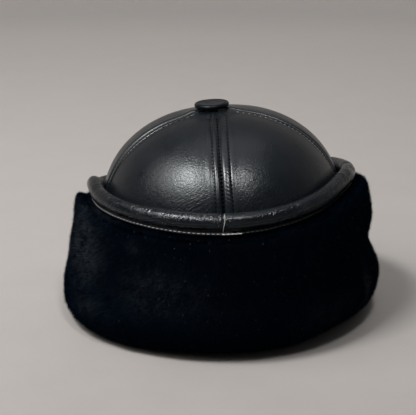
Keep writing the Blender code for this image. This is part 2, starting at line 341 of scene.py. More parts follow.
def add_piece(name, points, faces, finishes, finish_of_face=None):
    """Makes a smooth-shaded object that moves with the hat, from points and arrays of faces."""
    faces = [np.asarray(block).reshape(-1, block.shape[-1]) for block in faces]
    corners = np.concatenate([block.ravel() for block in faces])
    sizes = np.concatenate([np.full(len(block), block.shape[1]) for block in faces])
    mesh = bpy.data.meshes.new(name)
    mesh.vertices.add(len(points))
    mesh.vertices.foreach_set("co", np.asarray(points, np.float32).ravel())
    mesh.loops.add(len(corners))
    mesh.loops.foreach_set("vertex_index", corners.astype(np.int32))
    mesh.polygons.add(len(sizes))
    starts = np.concatenate([[0], np.cumsum(sizes)[:-1]])
    mesh.polygons.foreach_set("loop_start", starts.astype(np.int32))
    for finish in finishes:
        mesh.materials.append(finish)
    if finish_of_face is not None:
        mesh.polygons.foreach_set("material_index", np.asarray(finish_of_face, np.int32))
    mesh.update(calc_edges=True)
    mesh.shade_smooth()
    piece = bpy.data.objects.new(name, mesh)
    bpy.context.scene.collection.objects.link(piece)
    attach(piece, "root")
    return piece


def add_vectors(piece, label, values):
    """Gives the piece's first points a vector each, and the others zeros."""
    padded = np.zeros((len(piece.data.vertices), 3), np.float32)
    padded[: values.size // 3] = values.reshape(-1, 3)
    piece.data.attributes.new(label, "FLOAT_VECTOR", "POINT").data.foreach_set("vector", padded.ravel())


def grid_faces(rows, columns, first=0, close_rows=False, close_columns=False):
    """Four-cornered faces between rows of points, each row running along the columns."""
    r = np.arange(rows if close_rows else rows - 1)[:, None]
    c = np.arange(columns if close_columns else columns - 1)[None, :]
    r2, c2 = (r + 1) % rows, (c + 1) % columns
    quads = np.stack(
        np.broadcast_arrays(r * columns + c, r * columns + c2, r2 * columns + c2, r2 * columns + c),
        axis=-1,
    )
    return first + quads.reshape(-1, 4)


def tubes(paths, normals, profile, sides):
    """Points and faces of closed tubes along paths, an array of tubes by places by 3."""
    count, places = paths.shape[:2]
    along = unit(np.gradient(paths, axis=1))
    across = unit(np.cross(along, normals))
    upright = np.cross(across, along)
    turn = np.arange(sides) * math.tau / sides
    reach = np.asarray(profile)[None, :, None, None]
    around = (
        across[:, :, None] * np.cos(turn)[None, None, :, None]
        + upright[:, :, None] * np.sin(turn)[None, None, :, None]
    )
    points = (paths[:, :, None] + around * reach).reshape(-1, 3)
    per_tube = places * sides
    quads = grid_faces(places, sides, close_columns=True)[None]
    quads = quads + np.arange(count)[:, None, None] * per_tube
    firsts = np.arange(count)[:, None] * per_tube
    start_caps = firsts + np.arange(sides)[::-1][None]
    end_caps = firsts + (places - 1) * sides + np.arange(sides)[None]
    return points, [quads[..., ::-1].reshape(-1, 4), start_caps[:, ::-1], end_caps[:, ::-1]]


def spline(table, column, shares):
    """A column of a table at places from 0 at its first row to 1 at its last, on a curve."""
    values = np.array([row[column] for row in table])
    values = np.concatenate([[2 * values[0] - values[1]], values, [2 * values[-1] - values[-2]]])
    place = np.clip(shares, 0, 1) * (len(table) - 1)
    low = np.minimum(place.astype(int), len(table) - 2)
    t = place - low
    a, b, c, d = (values[low + step] for step in range(4))
    bend = (2 * a - 5 * b + 4 * c - d) * t**2 + (3 * b - a - 3 * c + d) * t**3
    return b + ((c - a) * t + bend) / 2


# Finishes


class Nodes:
    """Builds one material's nodes."""

    def __init__(self, name):
        self.material = bpy.data.materials.new(name)
        self.material.use_nodes = True
        self.tree = self.material.node_tree
        self.place = self.output("ShaderNodeTexCoord", "Object", {})

    def fill(self, node, inputs):
        """Gives a node its inputs, as plain values or as other nodes' outputs."""
        for name, value in inputs.items():
            if isinstance(value, bpy.types.NodeSocket):
                self.tree.links.new(value, node.inputs[name])
            else:
                node.inputs[name].default_value = value

    def output(self, kind, output, inputs, **settings):
        """One output of a new node."""
        node = self.tree.nodes.new(kind)
        for name, value in settings.items():
            setattr(node, name, value)
        self.fill(node, inputs)
        return node.outputs[output]

    def set(self, **inputs):
        """Gives the material's shader its inputs."""
        named = {name.replace("_", " "): value for name, value in inputs.items()}
        self.fill(self.tree.nodes["Principled BSDF"], named)

    def noise(self, size, detail=2.0, roughness=0.5, distortion=0.0, place=None):
        """Noise of about that size in metres."""
        inputs = {"Scale": 1 / size, "Detail": detail, "Roughness": roughness, "Distortion": distortion}
        return self.output("ShaderNodeTexNoise", "Fac", {"Vector": place or self.place, **inputs})

    def net(self, size, warp, width):
        """Lines round cells of about that size, warped so that the cells aren't round."""
        wave = self.output("ShaderNodeTexNoise", "Color", {"Vector": self.place, "Scale": 1 / 0.004})
        inputs = {0: wave, 1: (warp, warp, warp), 2: self.place}
        place = self.output("ShaderNodeVectorMath", "Vector", inputs, operation="MULTIPLY_ADD")
        inputs = {"Vector": place, "Scale": 1 / size}
        edge = self.output("ShaderNodeTexVoronoi", "Distance", inputs, feature="DISTANCE_TO_EDGE")
        return self.between(edge, 0.0, width, 0.0, 1.0)

    def mapped(self, vector, degrees, stretch):
        """The vector turned about Z, and then stretched."""
        for name, value in (("Rotation", (0, 0, math.radians(degrees))), ("Scale", stretch)):
            vector = self.output("ShaderNodeMapping", "Vector", {"Vector": vector, name: value})
        return vector

    def parts(self, vector):
        return self.output("ShaderNodeSeparateXYZ", "X", {"Vector": vector}).node.outputs

    def math(self, operation, *values):
        return self.output("ShaderNodeMath", "Value", dict(enumerate(values)), operation=operation)

    def add(self, first, second):
        return self.math("ADD", first, second)

    def times(self, first, second):
        return self.math("MULTIPLY", first, second)

    def between(self, source, low, high, to_low, to_high):
        """The source's range low to high carried to another range."""
        ends = {"From Min": low, "From Max": high, "To Min": to_low, "To Max": to_high}
        return self.output("ShaderNodeMapRange", "Result", {"Value": source, **ends})

    def blend(self, share, first, second):
        """A colour between the first, which may be another node's, and the second."""
        if not isinstance(first, bpy.types.NodeSocket):
            first = (*first, 1.0)
        inputs = {"Factor": share, "A": first, "B": (*second, 1.0)}
        return self.output("ShaderNodeMix", "Result", inputs, data_type="RGBA")

    def attribute(self, name, output="Fac"):
        return self.output("ShaderNodeAttribute", output, {}, attribute_name=name)

    def bump(self, height, depth, below=None):
        """A bump of that depth in metres, over another one."""
        inputs = {"Strength": 1.0, "Distance": depth, "Height": height}
        if below is not None:
            inputs["Normal"] = below
        return self.output("ShaderNodeBump", "Normal", inputs)


# Painted shade: the near-black painted into the seams' grooves, standing in for the shade in them
PAINTED_GROOVE_SHADE = (0.0004, 0.0007, 0.0013)
COOL = (0.87, 0.95, 1.0, 1.0)


def crown_finish(name):
    """Black nappa, finely creased, with the puckers that the sewing leaves in it, and painted shade: its
    seams' grooves painted near-black.
    """
    look = Nodes(name)
    row, run, gap = look.parts(look.attribute("sewing", "Vector"))
    on_panel = look.attribute("panel", "Vector")
    high = look.parts(on_panel)[1]
    # Painted shade: within half a millimetre of a seam the leather is painted near-black and made rougher
    groove = look.between(gap, 0.00020, 0.00050, 1.0, 0.0)
    turns = look.add(look.math("DIVIDE", run, STITCH_PITCH), look.math("DIVIDE", gap, PLEAT_SLANT))
    in_band = look.between(gap, 0.0012, 0.0040, 0.0, 1.0)
    in_band = look.times(in_band, look.between(row, -0.0010, 0.0, 1.0, 0.0))
    in_band = look.times(in_band, look.between(look.noise(0.007), 0.40, 0.65, 0.0, 1.0))
    pleat = look.times(look.math("SINE", look.times(turns, math.tau)), in_band)
    ripple = look.noise(0.0030, 3.0, 0.55, 0.8, look.mapped(on_panel, 12, (1, 2.0, 1)))
    crease = look.noise(0.0050, 2.0, 0.5, 0.3, look.mapped(on_panel, -42, (1, 3.6, 1)))
    crease = look.times(crease, look.between(high, 0.024, 0.050, 1.0, 0.06))
    free = look.between(row, 0.0005, 0.0060, 0.30, 1.0)
    soft = look.add(look.times(ripple, 0.50), look.times(crease, 1.15))
    soft = look.times(look.add(soft, look.times(look.net(0.0021, 0.0020, 0.20), 0.16)), free)
    height = look.bump(soft, 0.00026)
    height = look.bump(pleat, 0.00006, height)
    height = look.bump(look.noise(0.0008), 0.00003, height)
    cloud = look.noise(0.018, 4.0, 0.6)
    tone = look.between(cloud, 0.35, 0.65, 0.0, 1.0)
    nappa = look.blend(tone, (0.0020, 0.0034, 0.0054), (0.0036, 0.0052, 0.0078))
    look.set(
        # the grooves' painted shade
        Base_Color=look.blend(groove, nappa, PAINTED_GROOVE_SHADE),
        Roughness=look.add(look.between(cloud, 0.3, 0.7, 0.26, 0.34), look.times(groove, 0.4)),
        Normal=height,
        Specular_IOR_Level=0.45,
        Specular_Tint=COOL,
    )
    return look.material


def leather_finish(name, smooth, rough, folds, level, pale=(0.0034, 0.0048, 0.0072)):
    """The same nappa where it is gathered: fine slanting folds, by the attribute panel."""
    look = Nodes(name)
    on_panel = look.attribute("panel", "Vector")
    fold = look.noise(0.0040, 2.0, 0.5, 0.4, look.mapped(on_panel, -48, (1, 3.4, 1)))
    patch = look.between(look.noise(0.022), 0.35, 0.62, 0.35, 1.0)
    soft = look.times(look.add(fold, look.times(look.net(0.0018, 0.0012, 0.14), 0.16)), patch)
    cloud = look.noise(0.016, 4.0, 0.6)
    tone = look.between(cloud, 0.35, 0.65, 0.0, 1.0)
    look.set(
        Base_Color=look.blend(tone, (0.0018, 0.0030, 0.0050), pale),
        Roughness=look.between(cloud, 0.3, 0.7, smooth, rough),
        Normal=look.bump(look.noise(0.0008), 0.00004, look.bump(soft, folds)),
        Specular_IOR_Level=level,
        Specular_Tint=COOL,
    )
    return look.material


def suede_finish(name):
    """The leather's flesh side, seen inside the crown."""
    look = Nodes(name)
    nap = look.noise(0.0012, 5.0, 0.7)
    tone = look.between(look.noise(0.02, 3.0), 0.3, 0.7, 0.0, 1.0)
    look.set(
        Base_Color=look.blend(tone, (0.014, 0.014, 0.015), (0.030, 0.030, 0.032)),
        Roughness=look.between(nap, 0.3, 0.7, 0.82, 0.97),
        Normal=look.bump(nap, 0.0002),
        Specular_IOR_Level=0.25,
        Sheen_Weight=0.10,
        Sheen_Roughness=0.5,
    )
    return look.material


def thread_finish(name, dark, pale, roughness, level=0.5):
    look = Nodes(name)
    twist = look.noise(0.0005)
    tone = look.blend(twist, dark, pale)
    look.set(Base_Color=tone, Normal=look.bump(twist, 0.00008), Roughness=roughness, Specular_IOR_Level=level)
    return look.material


def fur_finish(name):
    """Black pile, paler by the attribute pale: painted sheen where it is brushed up, and pale lint."""
    look = Nodes(name)
    look.set(
        Base_Color=look.blend(look.attribute("pale"), (0.0000, 0.0021, 0.0062), (0.22, 0.27, 0.33)),
        Roughness=look.between(look.noise(0.0015), 0.3, 0.7, 0.70, 0.85),
        Specular_IOR_Level=0.03,
        Specular_Tint=(0.2, 0.6, 1.0, 1.0),
    )
    return look.material


def skin_finish(name):
    """The dark bed that the pile grows from."""
    look = Nodes(name)
    nap = look.noise(0.0010, 4.0, 0.7)
    tone = look.blend(nap, (0.0000, 0.0012, 0.0036), (0.0004, 0.0030, 0.0070))
    look.set(Base_Color=tone, Normal=look.bump(nap, 0.0004), Roughness=0.9, Specular_IOR_Level=0.1)
    return look.material


leather = crown_finish("crown_leather")
roll_leather = leather_finish("roll_leather", 0.10, 0.17, 0.00062, 0.42)
# Painted light: the binding's left part is painted a paler leather, standing in for light bounced up from the
# floor
binding_painted_light_leather = leather_finish("binding_painted_light_leather", 0.30, 0.40, 0.00040, 0.50, (0.034, 0.037, 0.042))
button_leather = leather_finish("button_leather", 0.27, 0.36, 0.00008, 0.12)
suede = suede_finish("crown_suede")
dark_thread = thread_finish("dark_thread", (0.0002, 0.0005, 0.0010), (0.0006, 0.0012, 0.0022), 0.8, 0.03)
grey_thread = thread_finish("grey_thread", (0.18, 0.18, 0.185), (0.56, 0.56, 0.57), 0.45)
# Painted glint: a paler copy of the dark thread, standing in for the light glinting on the side seams'
# stitches
painted_glint_thread = thread_finish("painted_glint_thread", (0.020, 0.022, 0.026), (0.30, 0.305, 0.31), 0.35)
# Painted shade: a darker copy of the grey thread for the binding's stitches on the right
painted_shade_thread = thread_finish("painted_shade_thread", (0.018, 0.020, 0.024), (0.14, 0.145, 0.15), 0.40)
pale_thread = thread_finish("pale_thread", (0.30, 0.30, 0.29), (0.55, 0.54, 0.52), 0.60)
fur = fur_finish("cuff_fur")
skin = skin_finish("cuff_skin")


# The crown's panels


def crown_size(rise):
    """Half width, half length and height of the crown's plain outer face."""
    low = np.clip(rise, 0, 1)
    turn = np.clip(rise - 1, 0, 1) * math.pi / 2
    shrink = np.cos(turn) ** (2 / DOME_FULLNESS)
    climb = np.sin(turn) ** (2 / DOME_FULLNESS)
    swell = CROWN_SWELL * np.sin(low * math.pi / 2)
    height = CROWN_FOOT + low * WALL_RISE + DOME_RISE * climb
    return (FOOT_HALF_WIDTH + swell) * shrink, (FOOT_HALF_LENGTH + swell) * shrink, height


def crown_plain(angle, rise):
    half_width, half_length, height = crown_size(rise)
    return vectors(half_width * np.cos(angle), half_length * np.sin(angle), height)


def crown_normal(angle, rise):
    step = 1e-4
    around = crown_plain(angle + step, rise) - crown_plain(angle - step, rise)
    upwards = crown_plain(angle, rise + step) - crown_plain(angle, np.maximum(rise - step, 0))
    return unit(np.cross(around, upwards))


def top_rise():
    """The rise at which the crown has narrowed to the button's hole."""
    shrink = TOP_HOLE / (FOOT_HALF_WIDTH + CROWN_SWELL)
    return 1 + math.acos(shrink ** (DOME_FULLNESS / 2)) * 2 / math.pi


DOME_RISES = np.linspace(1, top_rise(), 4000)
DOME_LENGTHS = np.concatenate(
    [[0], np.cumsum(np.linalg.norm(np.diff(crown_plain(-math.pi / 2, DOME_RISES), axis=0), axis=-1))]
)
DOME_LENGTH = DOME_LENGTHS[-1]
FINE_FROM = 0.004  # length up the dome, hidden behind the roll below this
FINE_ROWS = 228
COARSE_ROWS = 8
BAND_REACH = 0.0104
MIDDLE_COLUMNS = 99
INNER_STEP = 4


def rise_at(length):
    """The rise at a length up the dome from where it springs."""
    return np.interp(length, DOME_LENGTHS, DOME_RISES)


def length_at(rise):
    return np.interp(rise, DOME_RISES, DOME_LENGTHS)


def band_places(row):
    """Distances from a seam to a band's columns, closest in the groove and along the stitches."""
    groove = np.array([0.0, 0.00025, 0.0005, 0.0008, 0.0011, 0.0015, 0.0020])
    face = np.linspace(0.0020, row - 0.0012, 5)[1:-1]
    sewn = row + np.linspace(-0.0012, 0.0012, 11)
    return np.concatenate([groove, face, sewn, np.linspace(row + 0.0012, BAND_REACH, 5)[1:]])


def seam_speed(seam, rise):
    """Metres along the crown for each radian, beside a seam."""
    half_width, half_length, _ = crown_size(rise)
    return np.hypot(half_width * math.sin(seam), half_length * math.cos(seam))


def panel_ends(number):
    """The angles of the seams that a panel lies between."""
    ends = [*SEAMS, SEAMS[0] + 360]
    return math.radians(ends[number]), math.radians(ends[number + 1])


HALF_ANGLES = [(end - start) / 2 for start, end in map(panel_ends, range(PANELS))]


def seam_squeeze(seam, rise):
    """How far a band is narrowed near the top, where the panel is narrow."""
    return np.minimum(1.0, min(HALF_ANGLES) * seam_speed(seam, rise) * 0.75 / BAND_REACH)


def band_relief(distance, length, row, front):
    """A seam's groove, its raised band, its row of stitches and the leather's swell past it."""
    deepness = 0.60 - 0.50 * np.clip((length - 0.030) / 0.045, 0, 1) if front else 1.0
    groove = -0.0015 * deepness * bell(distance, 0.00066)
    shoulder = 0.5 + 0.5 * np.tanh((distance - 0.0012) / 0.0006)
    edge = 0.5 - 0.5 * np.tanh((distance - row + 0.0006) / 0.0007)
    crowned = 0.72 + 0.28 * np.sin(np.clip(distance / row, 0, 1) * math.pi)
    band = BAND_RAISE * shoulder * edge * crowned
    dip = -(0.00016 if front else 0.00026) * bell(distance - row, 0.00060)
    pillow = 0.00026 * bell(distance - row - 0.0026, 0.0019)
    return groove + band + dip + pillow


def panel_swell(number, angle, rise):
    start, end = panel_ends(number)
    share = 1 - np.abs(angle - (start + end) / 2) / HALF_ANGLES[number]
    puff = PANEL_PUFF * HALF_ANGLES[number] / max(HALF_ANGLES)
    return puff * np.sin(rise * math.pi / 2) * np.sin(share * math.pi / 2)


def seam_distances(number, angle, rise):
    """Distances from a panel's two seams, how far the bands are narrowed, and their rows' places.

    And whether it is the front seam, which lies flatter than the others.
    """
    start, end = panel_ends(number)
    for seam, way, row in ((start, 1, ROW_AFTER_SEAM), (end, -1, ROW_BEFORE_SEAM)):
        squeeze = seam_squeeze(seam, rise)
        front = number == (0 if way == 1 else PANELS - 1)
        yield (angle - seam) * way * seam_speed(seam, rise) / squeeze - SEAM_GAP / 2, squeeze, row, front


def panel_places(number, angle, rise):
    """Where a place lies beside the nearest row of stitches, along it and beside its seam.

    And where it lies on the panel, across it and up it, for the creases.
    """
    length = length_at(rise)
    row_distance, gap = np.full(angle.shape, 1.0), np.full(angle.shape, 1.0)
    for distance, _, row, _ in seam_distances(number, angle, rise):
        nearer = distance < gap
        row_distance = np.where(nearer, distance - row, row_distance)
        gap = np.where(nearer, distance, gap)
    start, end = panel_ends(number)
    half_width, half_length, _ = crown_size(rise)
    speed = np.hypot(half_width * np.sin(angle), half_length * np.cos(angle))
    across = (angle - (start + end) / 2) * speed
    sewing = vectors(row_distance, length - FIRST_STITCH, gap)
    return sewing, vectors(across, length, PANELS_APART * number)


def panel_lift(number, angle, rise):
    """How far a panel's outer face stands out from the crown's plain face."""
    lift = panel_swell(number, angle, rise)
    places = crown_plain(angle, rise)
    nearest = np.full(lift.shape, 1.0)
    for distance, squeeze, row, front in seam_distances(number, angle, rise):
        lift = lift + band_relief(distance, length_at(rise), row, front) * squeeze
        nearest = np.minimum(nearest, distance)
    low = np.clip((0.135 - places[..., 2]) / 0.045, 0, 1)
    free = np.clip((nearest - 0.0105) / 0.010, 0, 1)
    wide = smooth_noise(places, 0.018, 3) * 0.00013 * free
    soft = smooth_noise(places * (1.0, 1.0, 1.4), 0.0052, 5) * 0.00004
    fine = smooth_noise(places * (1.0, 1.0, 1.5), 0.0027, 7) * 0.00003
    from_button = np.hypot(places[..., 0] + BUTTON_SHIFT, places[..., 1])
    below_button = np.clip((0.0250 - from_button) / 0.0120, 0, 1)
    below_button = BUTTON_RAISE * below_button**2 * (3 - 2 * below_button)
    return lift + wide + (soft + fine) * (0.45 + 0.75 * low) * (0.4 + 0.6 * free) + below_button


def crown_surface(number, angle, rise, lift=0.0):
    """Points on a panel's outer face, or that far above it."""
    height = panel_lift(number, angle, rise) + lift
    return settle(crown_plain(angle, rise) + crown_normal(angle, rise) * height[..., None])


def rim_of(rows, columns, first=0):
    """The indices round a grid's rim."""
    r, c = np.arange(rows), np.arange(columns)
    last = (rows - 1) * columns
    sides = [c[:-1], r[:-1] * columns + columns - 1, last + c[:0:-1], r[:0:-1] * columns]
    return first + np.concatenate(sides)


def make_crown_panel(number):
    """A leather panel: a finely shaped outer face and a plain inner one, closed round its rim."""
    start, end = panel_ends(number)
    lengths = np.linspace(FINE_FROM, DOME_LENGTH, FINE_ROWS + 1)
    rises = np.concatenate([np.linspace(0, 1, COARSE_ROWS + 1)[:-1], rise_at(lengths)])
    sides = []
    for seam, way, row in ((start, 1, ROW_AFTER_SEAM), (end, -1, ROW_BEFORE_SEAM)):
        reach = SEAM_GAP / 2 + band_places(row) * seam_squeeze(seam, rises)[:, None]
        sides.append(seam + way * reach / seam_speed(seam, rises)[:, None])
    first, last = sides
    middle = np.linspace(0, 1, MIDDLE_COLUMNS + 2)[1:-1]
    middle = first[:, -1:] + (last[:, -1:] - first[:, -1:]) * middle
    angles = np.concatenate([first, middle, last[:, ::-1]], axis=1)
    heights = rises[:, None] + np.zeros_like(angles)
    outer = crown_surface(number, angles, heights)
    inner_angles = angles[::INNER_STEP, ::INNER_STEP]
    inner_heights = heights[::INNER_STEP, ::INNER_STEP]
    depth = panel_swell(number, inner_angles, inner_heights) - CROWN_WALL
    inner = crown_plain(inner_angles, inner_heights)
    inner = settle(inner + crown_normal(inner_angles, inner_heights) * depth[..., None])
    rows, columns = outer.shape[:2]
    inner_rows, inner_columns = inner.shape[:2]
    outer_faces = grid_faces(rows, columns)
    inner_faces = grid_faces(inner_rows, inner_columns, first=rows * columns)[:, ::-1]
    outer_rim = rim_of(rows, columns)
    inner_rim = rim_of(inner_rows, inner_columns, first=rows * columns)
    places = np.arange(len(outer_rim))
    near = inner_rim[places // INNER_STEP]
    side_faces = np.stack([np.roll(outer_rim, -1), outer_rim, near], axis=-1)
    corner = outer_rim[(np.arange(1, len(inner_rim) + 1) * INNER_STEP) % len(outer_rim)]
    far_faces = np.stack([corner, inner_rim, np.roll(inner_rim, -1)], axis=-1)
    points = np.concatenate([outer.reshape(-1, 3), inner.reshape(-1, 3)])
    counts = (len(outer_faces), len(inner_faces), len(side_faces) + len(far_faces))
    finish_of_face = np.repeat([0, 1, 0], counts)
    faces = [outer_faces, inner_faces, side_faces, far_faces]
    name = f"crown_panel_{number + 1}_leather"
    piece = add_piece(name, points, faces, [leather, suede], finish_of_face)
    for label, values in zip(("sewing", "panel"), panel_places(number, angles, heights)):
        add_vectors(piece, label, values)
    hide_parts(f"crown_panel_{number + 1}")


def seam_row(number, side, distance, lengths, lift):
    """Places and normals beside a panel's first seam (side 1) or its second (side -1)."""
    start, end = panel_ends(number)
    seam = start if side > 0 else end
    rises = rise_at(lengths)
    angles = seam + side * (SEAM_GAP / 2 + distance * seam_squeeze(seam, rises)) / seam_speed(seam, rises)
    return crown_surface(number, angles, rises, lift), crown_normal(angles, rises)


def sewn_lengths(last):
    """Lengths up a seam where its stitches start, further apart towards the top."""
    lengths = np.linspace(FIRST_STITCH, last, 400)
    pitch = STITCH_PITCH * (1 + TOP_SPREAD * np.clip((lengths / DOME_LENGTH - 0.40) / 0.4, 0, 1))
    count = np.concatenate([[0], np.cumsum(np.diff(lengths) / pitch[1:])])
    return np.interp(np.arange(int(count[-1])), count, lengths)


def stitch_rows():
    """The rows of stitches on both sides of every seam, one piece of thread for each seam."""
    shape = np.linspace(-0.5, 0.5, 5)
    dive = np.array([-0.00030, -0.00012, -0.00008, -0.00012, -0.00030])
    starts = sewn_lengths(DOME_LENGTH - 0.0100)
    for number in range(PANELS):
        stitch = STITCHES[number]
        profile = THREAD_RADIUS * stitch["thick"] * np.array([0.55, 1.0, 1.0, 1.0, 0.55])
        before = (number - 1) % PANELS
        parts = []
        for panel, side, row in ((number, 1, ROW_AFTER_SEAM), (before, -1, ROW_BEFORE_SEAM)):
            lengths = starts[:, None] + STITCH_PITCH / 2 + shape * stitch["length"]
            wander = smooth_noise(vectors(starts, 0, number), 0.004, 11 + side)
            distance = row + 0.00010 * wander[:, None] + stitch["slant"] * side * shape
            parts.append(seam_row(panel, side, distance, lengths, dive))
        paths = np.concatenate([part[0] for part in parts])
        normals = np.concatenate([part[1] for part in parts])
        points, faces = tubes(paths, normals, profile, 6)
        # The right seam's stitches take the paler thread: painted glint
        thread = painted_glint_thread if number == 1 else dark_thread
        piece = add_piece(f"seam_{number + 1}_stitches", points, faces, [thread])


def groove_stitches():
    """The short threads that cross each seam's groove."""
    starts = sewn_lengths(DOME_LENGTH - 0.0125)
    across = np.linspace(-1, 1, 5)
    lift = np.array([-0.0004, 0.00012, 0.00030, 0.00012, -0.0004])
    for number in range(PANELS):
        seam = panel_ends(number)[0]
        rises = rise_at(starts[:, None] + STITCH_PITCH / 2 + 0.0003 * across)
        angles = seam + CROSS_THREAD * across / seam_speed(seam, rises)
        depth = -0.0001 + 0.6 * lift
        paths = crown_plain(angles, rises) + crown_normal(angles, rises) * depth[:, None]
        profile = CROSS_THREAD * np.array([0.6, 1.0, 1.0, 1.0, 0.6])
        points, faces = tubes(settle(paths), crown_normal(angles, rises), profile, 6)
        # The side seams' cross stitches take the paler thread: painted glint
        thread = dark_thread if number % 2 == 0 else painted_glint_thread
        piece = add_piece(f"seam_{number + 1}_cross_stitches", points, faces, [thread])


# The covered button


def make_button():
    """A dished, leather-covered disc with a crease inside its rim, on its shank."""
    seat = CROWN_TOP + BAND_RAISE + PIECE_GAP
    sides, steps = 112, 64
    shares = np.linspace(0, 1, steps)[1:]
    out = spline(BUTTON_OUTLINE, "out", shares)
    up = spline(BUTTON_OUTLINE, "up", shares)
    turn = np.arange(sides) * math.tau / sides
    under = np.clip((0.45 - up) / 0.45, 0, 1) * np.clip((out - 0.4) / 0.3, 0, 1)
    above = up > 0.85
    crease = -0.00042 * bell(out - 0.84, 0.035) * above
    rim = 0.00018 * bell(out - 0.93, 0.05) * above
    folds = 0.00016 * np.sin(26 * turn + 1.5 * np.sin(3 * turn))
    radius = BUTTON_RADIUS * out[:, None] + under[:, None] * folds - 0.0001
    least = BUTTON_LIFT / BUTTON_THICK
    lifted = np.where(up < 0.9, least + (1 - least) * up, up)
    height = seat + BUTTON_THICK * lifted[:, None] + (crease + rim)[:, None]
    places = vectors(radius * np.cos(turn) - BUTTON_SHIFT, radius * np.sin(turn), height)
    places[..., 2] += smooth_noise(places, 0.006, 21) * 0.00010 * above[:, None]
    shank = TOP_HOLE - SHANK_CLEARANCE
    drop = SHANK_LENGTH * np.array([[0.0], [0.5], [1.0]])
    post = vectors(shank * np.cos(turn), shank * np.sin(turn), seat - drop)
    places = np.concatenate([places, post])
    rows = len(places)
    tips = np.array([[-BUTTON_SHIFT, 0.0, seat + BUTTON_THICK * 0.93], [0.0, 0.0, seat - SHANK_LENGTH]])
    points = settle(np.concatenate([places.reshape(-1, 3), tips]))
    around = np.arange(sides)
    beside = (around + 1) % sides
    last = (rows - 1) * sides
    top = np.stack([around, beside, around * 0 + rows * sides], axis=-1)
    bottom = np.stack([last + beside, last + around, around * 0 + rows * sides + 1], axis=-1)
    faces = [grid_faces(rows, sides, close_columns=True)[:, ::-1], top, bottom]
    piece = add_piece("top_button_cover", points, faces, [button_leather])
    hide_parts("top_button")


# The padded roll and what is sewn under it


def even_angles(count):
    """Angles round the hat at equal lengths along the roll, and the roll's whole length."""
    fine = np.linspace(0, math.tau, 4001)
    centre = lean(oval(fine, roll_out(fine), roll_height(fine)))
    lengths = np.concatenate([[0], np.cumsum(np.linalg.norm(np.diff(centre, axis=0), axis=-1))])
    return np.interp(np.arange(count) / count * lengths[-1], lengths, fine), lengths[-1]


def make_roll():
    """The roll: leather gathered round its padding in fine wrinkles, joined at the front."""
    count, sides = 1240, 44
    angle, around_length = even_angles(count)
    turn = np.arange(sides) * math.tau / sides
    run = angle / math.tau * around_length
    ring = vectors(run[:, None], 0.0045 * np.cos(turn), 0.0045 * np.sin(turn))
    slant = ring.copy()
    slant[..., 0] -= 0.9 * ring[..., 2]
    join = (angle - ROLL_JOIN + math.pi) % math.tau - math.pi
    beside_join = join[:, None] * ROLL_REACH
    flat = 1 - 0.85 * bell(beside_join - 0.010, 0.009)
    patch = np.clip(0.75 + 0.6 * smooth_noise(ring, 0.026, 31), 0.10, 1.2) * flat
    wrinkle = smooth_noise(slant * (1 / 0.0017, 1 / 0.0060, 1 / 0.0060), 1.0, 33)
    crinkle = smooth_noise(slant * (1 / 0.0010, 1 / 0.0034, 1 / 0.0034), 1.0, 35)
    lumps = smooth_noise(ring, 0.011, 37)
    relief = (0.00024 * wrinkle + 0.00017 * crinkle) * patch + 0.00012 * lumps
    join_run = beside_join + 0.0016 * np.sin(turn)
    relief = relief - 0.0009 * bell(join_run, 0.0007) + 0.00025 * bell(join_run - 0.0018, 0.0012)
    out = (ROLL_HALF_THICK - 0.0001 + relief) * np.cos(turn)
    up = (ROLL_HALF_TALL - 0.0001 + relief) * np.sin(turn)
    points = lean(oval(angle[:, None], roll_out(angle)[:, None] + out, roll_height(angle)[:, None] + up))
    faces = [grid_faces(count, sides, close_rows=True, close_columns=True)]
    piece = add_piece("edge_roll_leather", points.reshape(-1, 3), faces, [roll_leather])
    add_vectors(piece, "panel", vectors(run[:, None], 0.0065 * turn, 0.0))
    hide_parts("edge_roll")


def strip_surface(angle, down, lift):
    """Places on the binding's face, a share of the way down it and that far in front."""
    wave = 0.0003 * smooth_noise(oval(angle, 0, 0), 0.020, 41)
    right = np.clip(np.cos(angle) / 0.5, 0, 1)
    out = STRIP_OUT - 0.0014 * right + 0.0010 * down + 0.0004 * np.sin(down * math.pi) + lift + wave
    drop = STRIP_TOP - STRIP_TALL * down + 0.5 * wave + 0.0017 * np.clip(-np.cos(angle), 0, 1)
    return lean(oval(angle, roll_out(angle) + out, roll_height(angle) + drop))


def make_binding():
    """The flat strip under the roll that the stitches go through."""
    count, across = 480, 6
    angle, _ = even_angles(count)
    down = np.linspace(0, 1, across)
    grid_angle, grid_down = np.meshgrid(angle, down, indexing="ij")
    dip = -0.00028 * bell(grid_down - STITCH_DOWN, 0.13)
    front = strip_surface(grid_angle, grid_down, dip)
    back = strip_surface(grid_angle, grid_down[:, ::-1], -STRIP_THICK)
    points = np.concatenate([front, back], axis=1)
    faces = [grid_faces(count, 2 * across, close_rows=True, close_columns=True)[:, ::-1]]
    # Painted light: faces on the left take the paler binding leather, those on the right the roll's plain
    # leather
    shaded = np.repeat(np.cos(angle) > 0.05, len(faces[0]) // count)
    piece = add_piece("edge_binding", points.reshape(-1, 3), faces, [binding_painted_light_leather, roll_leather], shaded)


def binding_tubes(places, downs, lift, profile):
    """Threads on the binding at those angles and shares of the way down it."""
    paths = strip_surface(places, downs, lift)
    return tubes(paths, vectors(np.cos(places), np.sin(places), 0.2), profile, 6)


